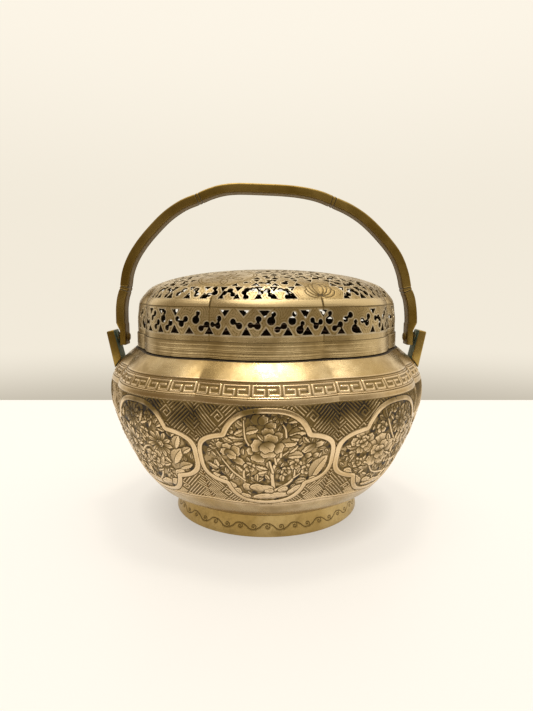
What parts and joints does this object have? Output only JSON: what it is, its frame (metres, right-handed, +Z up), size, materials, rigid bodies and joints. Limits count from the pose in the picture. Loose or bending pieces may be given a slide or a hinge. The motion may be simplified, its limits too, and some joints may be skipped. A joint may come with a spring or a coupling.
{
  "type": "hand warmer censer",
  "caption": "Lobed brass bowl on a foot ring with a pierced lift-off lid, a lift-out liner and a flat bail swinging on two leaning ears, for burning charcoal or incense.",
  "frame": {"origin": "centre of the foot ring's underside, on the surface that the censer stands on", "axes": "+Z up the bowl's axis, +X along the bail's pivot line, -Y towards the front"},
  "size_m": [0.1664, 0.1624, 0.1672],
  "materials": {
    "bowl_brass": "worn satin, chased",
    "lid_brass": "worn satin, pierced",
    "handle_brass": "dark aged patina",
    "green_brass": "verdigris",
    "liner_copper": "dull oxidised copper alloy"
  },
  "bodies": {
    "vessel": {"bowl_shell": "bowl_brass", "foot_ring": "bowl_brass", "neck_collar": "bowl_brass", "ear_left": "handle_brass", "ear_right": "handle_brass", "pivot_rivet_left": "handle_brass", "pivot_rivet_right": "handle_brass", "pivot_washer_left": "green_brass", "pivot_washer_right": "green_brass"},
    "bail": {"bail_handle": "handle_brass"},
    "lid": {"lid_rim_band": "lid_brass", "lid_wall": "lid_brass", "lid_top": "lid_brass"},
    "liner": {"liner_pan": "liner_copper", "liner_rim_wire": "liner_copper"}
  },
  "joints": [
    {"name": "bail_swing", "type": "hinge", "parent": "vessel", "child": "bail", "pos_m": [0, 0, 0.089], "axis": [1, 0, 0], "range_deg": [-92, 92]},
    {"name": "lid_lift", "type": "slide", "parent": "vessel", "child": "lid", "axis": [0, 0, 1], "range_m": [0, 0.014]},
    {"name": "liner_lift", "type": "slide", "parent": "vessel", "child": "liner", "axis": [0, 0, 1], "range_m": [0, 0.018]}
  ]
}
